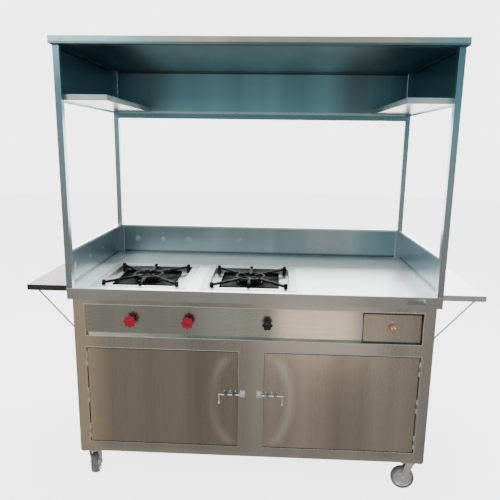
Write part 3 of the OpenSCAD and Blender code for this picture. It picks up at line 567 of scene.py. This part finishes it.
knobs = [
    gas_knob("knob_left", "left_knob_turn", 8, "red_plastic", "left_knob"),
    gas_knob("knob_right", "right_knob_turn", 8, "red_plastic", "right_knob"),
    gas_knob("knob_main", "main_knob_turn", 6, "black_plastic", "main_knob"),
]
print("knobs:", [piece.name for piece in knobs])

# %% [markdown]
# Each caster wheel is a rubber tyre on a pressed core. The tyre's tread is crowned, and the core has a
# rim, a dished web and a hub with its bore, all spun round the axle that the imported joint gives.

# %% Caster wheels
WHEEL_R, TYRE_IN, TYRE_HALF = 0.050, 0.0391, 0.015
CROWN = 0.0052
TREAD_STEPS = 12
# Radius and height of half the core: the rim, the dished web, the hub and the edge of its bore
CORE_HALF = [
    (0.0390, 0.0138), (0.0362, 0.0142), (0.0345, 0.0128), (0.0330, 0.0052), (0.0300, 0.0040),
    (0.0190, 0.0052), (0.0150, 0.0072), (0.0132, 0.0150), (0.0118, 0.0168), (0.0060, 0.0170),
    (0.00505, 0.0166),
]


def caster_wheel(corner):
    joint = joints[corner + "_roll"]
    centre, axis = joint["pos_m"], joint["axis"]
    shoulder = WHEEL_R - CROWN
    tyre_outline = [(TYRE_IN, -TYRE_HALF, 0), (shoulder, -TYRE_HALF, 0)]
    for step in range(TREAD_STEPS + 1):
        angle = math.pi * (step / TREAD_STEPS - 0.5)
        tyre_outline.append((shoulder + CROWN * math.cos(angle) ** 0.6, TYRE_HALF * math.sin(angle), 0))
    tyre_outline += [(shoulder, TYRE_HALF, 0), (TYRE_IN, TYRE_HALF, 0)]
    shape = bmesh.new()
    lathe(shape, centre, axis, tyre_outline, closed=True)
    tyre = finish_piece(f"tyre_{corner}", shape, "tyre_rubber", corner + "_wheel")
    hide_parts("wheel_" + corner)
    core_outline = [(radius, -height, 0) for radius, height in CORE_HALF]
    core_outline += [(radius, height, 0) for radius, height in reversed(CORE_HALF)]
    shape = bmesh.new()
    lathe(shape, centre, axis, core_outline, closed=True)
    core = finish_piece(f"core_{corner}", shape, "zinc_plate", corner + "_wheel")
    return [tyre, core]


corners = ["front_left", "front_right", "back_left", "back_right"]
wheels = [piece for corner in corners for piece in caster_wheel(corner)]
print("wheel pieces:", len(wheels))

# %% [markdown]
# The pan supports are castings, so none of their edges is sharp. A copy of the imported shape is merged,
# its flat triangles are joined into faces, and a bevel rounds the edges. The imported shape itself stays
# as it is.

# %% Cast pan supports
CAST_EDGE = 0.0016


def cast_copy(node, body, finish):
    shape = bmesh.new()
    shape.from_mesh(nodes[node].data)
    bmesh.ops.remove_doubles(shape, verts=shape.verts, dist=2e-6)
    bmesh.ops.dissolve_limit(shape, angle_limit=math.radians(2), verts=shape.verts, edges=shape.edges)
    mesh = bpy.data.meshes.new(node + "_cast")
    shape.to_mesh(mesh)
    shape.free()
    rough_piece = bpy.data.objects.new(node + "_rough", mesh)
    bpy.context.scene.collection.objects.link(rough_piece)
    bevel = rough_piece.modifiers.new("rounded", "BEVEL")
    bevel.width = CAST_EDGE
    bevel.segments = 2
    bevel.limit_method = "ANGLE"
    bevel.angle_limit = math.radians(40)
    view = bpy.context.evaluated_depsgraph_get()
    rounded = bpy.data.meshes.new_from_object(rough_piece.evaluated_get(view))
    bpy.data.objects.remove(rough_piece)
    rounded.materials.clear()
    rounded.materials.append(finishes[finish])
    piece = link_piece(node + "_cast", rounded, body)
    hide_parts(node)
    return piece


supports = [cast_copy(f"grate_{side}", f"{side}_grate", "support_iron")
            for side in ("left", "right")]
print("pan supports:", [len(piece.data.polygons) for piece in supports], "faces")

# %% [markdown]
# Screws, rivets and weld marks repeat in rows, so Geometry Nodes place them. One tree serves them all:
# it takes a list of points, sets a copy of a small model on each, faces it along one direction, and
# varies its turn and size a little by a fixed seed. The result becomes a plain mesh that rides on its
# body.

# %% A tree that sets studs on points
def stud_tree():
    tree = bpy.data.node_groups.new("studs_on_points", "GeometryNodeTree")
    sockets = [("Geometry", "NodeSocketGeometry"), ("Stud", "NodeSocketObject"),
               ("Facing", "NodeSocketVector"), ("Size", "NodeSocketFloat"),
               ("Size Spread", "NodeSocketFloat"), ("Turn Spread", "NodeSocketFloat"),
               ("Seed", "NodeSocketInt"), ("Material", "NodeSocketMaterial")]
    for name, kind in sockets:
        tree.interface.new_socket(name, in_out="INPUT", socket_type=kind)
    tree.interface.new_socket("Geometry", in_out="OUTPUT", socket_type="NodeSocketGeometry")
    given = add_node(tree, "NodeGroupInput").outputs
    shape = add_node(tree, "GeometryNodeObjectInfo", {}, {"Object": given["Stud"]}).outputs["Geometry"]
    facing = add_node(tree, "FunctionNodeAlignRotationToVector", {"axis": "Z"}, {"Vector": given["Facing"]})
    turn = add_node(tree, "FunctionNodeRandomValue", {"data_type": "FLOAT"},
                    {2: 0.0, 3: given["Turn Spread"], 8: given["Seed"]})
    spin = add_node(tree, "FunctionNodeAxisAngleToRotation", {},
                    {"Axis": (0, 0, 1), "Angle": turn.outputs[1]})
    turned = add_node(tree, "FunctionNodeRotateRotation", {"rotation_space": "LOCAL"},
                      {0: facing.outputs[0], 1: spin.outputs[0]})
    spread = add_node(tree, "ShaderNodeMath", {"operation": "SUBTRACT"}, {0: 1.0, 1: given["Size Spread"]})
    factor = add_node(tree, "FunctionNodeRandomValue", {"data_type": "FLOAT"},
                      {2: spread.outputs[0], 3: 1.0, 8: given["Seed"]})
    size = add_node(tree, "ShaderNodeMath", {"operation": "MULTIPLY"},
                    {0: given["Size"], 1: factor.outputs[1]})
    copies = add_node(tree, "GeometryNodeInstanceOnPoints", {}, {
        "Points": given["Geometry"], "Instance": shape, "Rotation": turned.outputs[0],
        "Scale": size.outputs[0]})
    whole = add_node(tree, "GeometryNodeRealizeInstances", {}, {"Geometry": copies.outputs[0]})
    paint = {"Geometry": whole.outputs[0], "Material": given["Material"]}
    painted = add_node(tree, "GeometryNodeSetMaterial", {}, paint)
    add_node(tree, "NodeGroupOutput", {}, {"Geometry": painted.outputs[0]})
    return tree


STUDS = stud_tree()


def set_studs(name, points, stud, facing, finish, body, size=1.0, spread=0.0, turn=0.0, seed=1):
    mesh = bpy.data.meshes.new(name + "_points")
    mesh.from_pydata([tuple(point) for point in points], [], [])
    holder = bpy.data.objects.new(name + "_points", mesh)
    bpy.context.scene.collection.objects.link(holder)
    modifier = holder.modifiers.new("studs", "NODES")
    modifier.node_group = STUDS
    values = {"Stud": stud, "Facing": facing, "Size": size, "Size Spread": spread, "Turn Spread": turn,
              "Seed": seed, "Material": finishes[finish]}
    for item in STUDS.interface.items_tree:
        if item.in_out == "INPUT" and item.name in values:
            modifier[item.identifier] = values[item.name]
    view = bpy.context.evaluated_depsgraph_get()
    made = bpy.data.meshes.new_from_object(holder.evaluated_get(view))
    bpy.data.objects.remove(holder)
    return link_piece(name, made, body)


print("stud tree:", len(STUDS.nodes), "nodes")

# %% [markdown]
# The studs themselves: a pan-head screw with a dimpled head, a domed rivet, and the flat lens that a
# spot weld leaves. Each is drawn near its real size, standing on its own XY plane, and a row may scale
# it.

# %% Models of a screw, a rivet and a weld mark
def stud_model(name, outline, segments):
    shape = bmesh.new()
    lathe(shape, (0, 0, 0), (0, 0, 1), [(r, h, 0) for r, h in outline], segments=segments)
    bmesh.ops.recalc_face_normals(shape, faces=shape.faces)
    mesh = bpy.data.meshes.new(name)
    shape.to_mesh(mesh)
    shape.free()
    model = bpy.data.objects.new(name, mesh)
    bpy.context.scene.collection.objects.link(model)
    return model


foot = (0, -0.0002)
screw = stud_model("screw_model", [(0, 0.0009), (0.0012, 0.0018), (0.0026, 0.0016), (0.0033, 0.0009),
                                   (0.0035, 0), foot], 12)
rivet = stud_model("rivet_model", [(0, 0.0013), (0.0014, 0.0011), (0.0022, 0.0006), (0.0026, 0), foot], 12)
weld = stud_model("weld_model", [(0, 0.00022), (0.003, 0.00018), (0.005, 0.00008), (0.006, 0), foot], 16)
print("stud models:", [len(model.data.polygons) for model in (screw, rivet, weld)], "faces")

# %% [markdown]
# Rows of studs. Spot welds mark the splash guards, rivets run along the roof's rim, and screws hold the
# door bolts and their keepers. All sit on the face of the sheet or plate that they go through.

# %% Set the studs
ANY_TURN = 6.28
SHEET = 0.0012
SIDE_INSET, RIM_INSET = 0.08, 0.05
WELDS_FROM, WELDS_TO = -0.66, 0.46
BOLT_PLATE, SCREW_DROP = 0.001, 0.0035
BOLT_SCREWS, KEEPER_SCREWS = (0.0645, 0.088, 0.1115), (0.0275, 0.0425)


def row(start, end, count):
    start, end = Vector(start), Vector(end)
    return [start.lerp(end, i / (count - 1)) for i in range(count)]


side_low, side_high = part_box("side_guards")
guard_face = guard_high.y - SHEET
side_face = side_high.x - SHEET
spot_z = (guard_low.z + guard_high.z) / 2
spots = row((WELDS_FROM, guard_face, spot_z), (WELDS_TO, guard_face, spot_z), 9)
studs = [set_studs("guard_spot_welds", spots, weld, (0, -1, 0), "weld_sheen", "cart",
                   size=2.6, spread=0.35, turn=ANY_TURN, seed=4)]
for side, x, facing in (("left", -side_face, (1, 0, 0)), ("right", side_face, (-1, 0, 0))):
    spots = row((x, side_low.y + SIDE_INSET, spot_z), (x, side_high.y - SIDE_INSET, spot_z), 4)
    studs.append(set_studs(f"guard_spot_welds_{side}", spots, weld, facing, "weld_sheen", "cart",
                           size=2.2, spread=0.35, turn=ANY_TURN, seed=7))
rim_z = (roof_low.z + roof_high.z) / 2
for side, y, facing in (("front", roof_low.y, (0, -1, 0)), ("back", roof_high.y, (0, 1, 0))):
    spots = row((roof_low.x + RIM_INSET, y, rim_z), (roof_high.x - RIM_INSET, y, rim_z), 9)
    studs.append(set_studs(f"roof_rivets_{side}", spots, rivet, facing, "roof_sheet", "cart"))
_, keeper_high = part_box("bolt_keepers")
screw_y, screw_z = keeper_high.y - BOLT_PLATE, keeper_high.z - SCREW_DROP
for side, sign in (("left", -1), ("right", 1)):
    spots = [(sign * x, screw_y, screw_z) for x in BOLT_SCREWS]
    studs.append(set_studs(f"bolt_screws_{side}", spots, screw, (0, -1, 0), "zinc_plate", f"{side}_door",
                           size=0.8, turn=ANY_TURN, seed=2))
spots = [(sign * x, screw_y, screw_z) for sign in (-1, 1) for x in KEEPER_SCREWS]
studs.append(set_studs("keeper_screws", spots, screw, (0, -1, 0), "zinc_plate", "cart",
                       size=0.75, turn=ANY_TURN, seed=3))
print("stud pieces:", len(studs))

# %% [markdown]
# A weld bead is a row of overlapping ripples. The same tree makes it from closely spaced points. The
# beads run up both ends of the back guard, where it meets the posts, and they are ground nearly flat.

# %% Weld beads
BEAD_SINK, BEAD_INSET = 0.0004, 0.002
for name, x in (("left", guard_low.x), ("right", guard_high.x)):
    y = guard_face - BEAD_SINK
    spots = row((x, y, guard_low.z + BEAD_INSET), (x, y, guard_high.z - BEAD_INSET), 46)
    studs.append(set_studs(f"corner_bead_{name}", spots, weld, (0, -1, 0), "shelf_sheet", "cart",
                           size=0.5, spread=0.3, turn=ANY_TURN, seed=11))
print("beads set, stud pieces:", len(studs))

# %% [markdown]
# Two small pieces finish the front: a blank plate on the apron, with rounded corners and two rivets,
# and a wire staple above the drawer's knob for a padlock. The plate is a rounded outline given a
# thickness, the staple is a tube that follows a bent wire.

# %% Blank plate and drawer staple
CORNER_STEPS = 4
WIRE_SIDES = 12


def skin(shape, rings):
    """Joins each ring of points to the next one with a band of faces."""
    for first, second in zip(rings, rings[1:]):
        for i in range(len(first)):
            j = (i + 1) % len(first)
            shape.faces.new((first[i], first[j], second[j], second[i]))


def cap_ends(shape, rings):
    shape.faces.new(rings[0])
    shape.faces.new(rings[-1][::-1])


def rounded_plate(name, centre, width, height, thick, corner, finish, body):
    shape = bmesh.new()
    outline = []
    for sx, sz, start in ((1, 1, 0), (-1, 1, 90), (-1, -1, 180), (1, -1, 270)):
        for step in range(CORNER_STEPS + 1):
            angle = math.radians(start + 90 / CORNER_STEPS * step)
            x = sx * (width / 2 - corner) + corner * math.cos(angle)
            z = sz * (height / 2 - corner) + corner * math.sin(angle)
            outline.append((x, z))
    layers = []
    for depth, shrink in ((0, 1.0), (thick * 0.6, 1.0), (thick, 0.985)):
        layers.append([shape.verts.new((centre[0] + x * shrink, centre[1] - depth, centre[2] + z * shrink))
                       for x, z in outline])
    skin(shape, layers)
    cap_ends(shape, layers)
    return finish_piece(name, shape, finish, body)


def wire(name, path, radius, finish, body):
    shape = bmesh.new()
    rings = []
    for i, point in enumerate(path):
        before, after = path[max(i - 1, 0)], path[min(i + 1, len(path) - 1)]
        across, over, _ = frame_along(after - before)
        turns = [2 * math.pi * k / WIRE_SIDES for k in range(WIRE_SIDES)]
        rings.append([shape.verts.new(point + (across * math.cos(turn) + over * math.sin(turn)) * radius)
                      for turn in turns])
    skin(shape, rings)
    cap_ends(shape, rings)
    return finish_piece(name, shape, finish, body)


PLATE_X, PLATE_DROP = 0.655, 0.020
PLATE_W, PLATE_H, PLATE_T, PLATE_CORNER = 0.078, 0.024, 0.0009, 0.003
PLATE_RIVET_X = 0.034
plate_at = (PLATE_X, top_low.y - 0.0001, top_high.z - PLATE_DROP)
plate = rounded_plate("blank_plate", plate_at, PLATE_W, PLATE_H, PLATE_T, PLATE_CORNER, "frame_tube",
                      "cart")
spots = [(plate_at[0] + sx * PLATE_RIVET_X, plate_at[1] - PLATE_T, plate_at[2]) for sx in (-1, 1)]
studs.append(set_studs("plate_rivets", spots, rivet, (0, -1, 0), "zinc_plate", "cart",
                       size=0.8))

STAPLE_HALF, STAPLE_REACH, STAPLE_R, STAPLE_STEPS = 0.007, 0.012, 0.0018, 16
STAPLE_SHIFT, STAPLE_RISE, STAPLE_OFF = 0.004, 0.016, 0.0005
front_low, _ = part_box("drawer_front")
pull_low, pull_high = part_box("drawer_knob")
pull_x = (pull_low.x + pull_high.x) / 2
bend = [math.pi * (step / STAPLE_STEPS) for step in range(STAPLE_STEPS + 1)]
loop_path = [Vector((pull_x - STAPLE_SHIFT + STAPLE_HALF * math.cos(angle),
                     front_low.y - STAPLE_OFF - STAPLE_REACH * math.sin(angle),
                     pull_high.z + STAPLE_RISE)) for angle in bend]
staple = wire("padlock_staple", loop_path, STAPLE_R, "zinc_plate", "drawer")
print("made:", plate.name, staple.name)

# %% [markdown]
# Each opening in the front was cut and then folded, and a folded edge catches the light as a thin
# bright line. The fold is a fine bead that follows the opening's four sides, and its steel is painted
# pale, a painted highlight. The openings' places come from the doors and the control panel. The panel
# runs a little behind its opening, and the bead lies just outside the opening's edge, because the
# drawer slides out through it.

# %% Folded edges round the openings
BEAD_R, BEAD_SIDES = 0.0011, 8
DOOR_GAP, HINGE_GAP = 0.004, 0.0045         # an opening's edges, beyond its door
PANEL_END = 0.011                           # an opening's inner edge, inside the centre panel's end
PANEL_MARGIN, BEAD_OUT = 0.007, 0.0013      # the recess's edge inside its panel, and the bead outside that


def opening_bead(name, low_x, high_x, low_z, high_z):
    shape = bmesh.new()
    rings = []
    for x, z in ((low_x, low_z), (high_x, low_z), (high_x, high_z), (low_x, high_z)):
        out_x, out_z = (1 if x == high_x else -1), (1 if z == high_z else -1)
        ring = []
        for k in range(BEAD_SIDES):
            angle = 2 * math.pi * k / BEAD_SIDES
            step = BEAD_R * math.cos(angle)
            y = face_low.y - BEAD_R * math.sin(angle)
            ring.append(shape.verts.new((x + out_x * step, y, z + out_z * step)))
        rings.append(ring)
    skin(shape, rings + rings[:1])
    return finish_piece(name, shape, "bead_sheen", "cart")


beads = []
_, centre_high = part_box("centre_panel")
for side, sign in (("left", -1), ("right", 1)):
    low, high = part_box(f"door_{side}")
    inner = sign * (abs(centre_high.x) - PANEL_END)
    outer = sign * (max(abs(low.x), abs(high.x)) + HINGE_GAP)
    beads.append(opening_bead(f"opening_bead_{side}", min(inner, outer), max(inner, outer),
                              low.z - DOOR_GAP, high.z + DOOR_GAP))
panel_low, panel_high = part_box("control_panel")
edge = PANEL_MARGIN - BEAD_OUT
beads.append(opening_bead("recess_bead", panel_low.x + edge, panel_high.x - edge, panel_low.z + edge,
                          panel_high.z - edge))
print("beads:", [bead.name for bead in beads])

# %% [markdown]
# The studio is a pale floor under a pale dome, with a soft key, a fill and a light overhead. Steel
# shows what stands around it, so the sheets get their tone as in a product studio, from cards that only
# reflections see: a wide dim one and a small bright one lie under the floor, a white one stands behind
# for the counter, and a cool one hangs high in front for the canopy. The floor is hidden from
# reflections, or it would wash every sheet out.

# %% Studio
HALF = 14.0
AIM = (0, 0, 0.9)
WHITE = (1.0, 1.0, 1.0)


def area_light(name, place, size, power, colour):
    data = bpy.data.lights.new(name, "AREA")
    data.size = size
    data.energy = power
    data.color = colour
    light = bpy.data.objects.new(name, data)
    bpy.context.scene.collection.objects.link(light)
    light.location = place
    light.rotation_euler = (Vector(AIM) - Vector(place)).to_track_quat("-Z", "Y").to_euler()
    light.visible_camera = False


def glowing(name, base, colour, strength):
    made = bpy.data.materials.new(name)
    made.use_nodes = True
    shader = made.node_tree.nodes["Principled BSDF"]
    shader.inputs["Base Color"].default_value = tinted(base)
    shader.inputs["Specular IOR Level"].default_value = 0
    shader.inputs["Roughness"].default_value = 1
    shader.inputs["Emission Color"].default_value = tinted(colour)
    shader.inputs["Emission Strength"].default_value = strength
    return made


def stage_piece(name, mesh, material, seen, mirrored):
    mesh.materials.append(material)
    made = bpy.data.objects.new(name, mesh)
    bpy.context.scene.collection.objects.link(made)
    made.visible_camera = seen
    made.visible_glossy = mirrored
    made.visible_diffuse = False
    made.visible_shadow = False


def flat_mesh(name, corner, side, up):
    corner, side, up = Vector(corner), Vector(side), Vector(up)
    mesh = bpy.data.meshes.new(name)
    mesh.from_pydata([corner, corner + side, corner + side + up, corner + up], [], [(0, 1, 2, 3)])
    return mesh


def card(name, corner, side, up, colour, strength):
    glow = glowing(name, (0, 0, 0), colour, strength)
    stage_piece(name, flat_mesh(name, corner, side, up), glow, False, True)


def floor():
    mesh = flat_mesh("studio_floor", (-HALF, -HALF, 0), (2 * HALF, 0, 0), (0, 2 * HALF, 0))
    stage_piece("studio_floor", mesh, glowing("studio_floor", (0.80, 0.80, 0.80), WHITE, 3.2), True, False)


def dome():
    shape = bmesh.new()
    bmesh.ops.create_uvsphere(shape, u_segments=48, v_segments=24, radius=HALF)
    bmesh.ops.reverse_faces(shape, faces=shape.faces)
    mesh = bpy.data.meshes.new("studio_dome")
    shape.to_mesh(mesh)
    shape.free()
    stage_piece("studio_dome", mesh, glowing("studio_dome", (0, 0, 0), WHITE, 4.2), True, False)


world = bpy.data.worlds.new("studio")
bpy.context.scene.world = world
world.use_nodes = True
sky = world.node_tree.nodes["Background"]
sky.inputs["Color"].default_value = (0.96, 0.98, 1.0, 1)
sky.inputs["Strength"].default_value = 0.9
floor()
dome()
area_light("key", (-2.4, -3.4, 3.6), 2.6, 90, (1.0, 0.96, 0.90))
area_light("fill", (3.4, -2.6, 2.4), 2.2, 45, (0.92, 0.97, 1.0))
area_light("overhead", (0.3, 1.0, 4.2), 3.0, 100, WHITE)
card("floor_card", (-HALF, -HALF, -0.002), (2 * HALF, 0, 0), (0, 2 * HALF, 0), (1.0, 0.95, 0.87), 0.36)
card("white_card", (-5, 6, 0.0), (10, 0, 0), (0, 0, 4.5), WHITE, 8.0)
card("warm_card", (0.12, -2.80, -0.001), (0.70, 0, 0), (0, 0.82, 0), (1.0, 0.86, 0.74), 2.2)
card("cool_card", (-4, -5.5, 1.7), (8, 0, 0), (0, 1.5, 4.0), (0.30, 0.62, 0.70), 0.55)

# %% [markdown]
# Last, the unit models are cleared away.

# %% Finish
for model in (screw, rivet, weld):
    bpy.data.objects.remove(model)
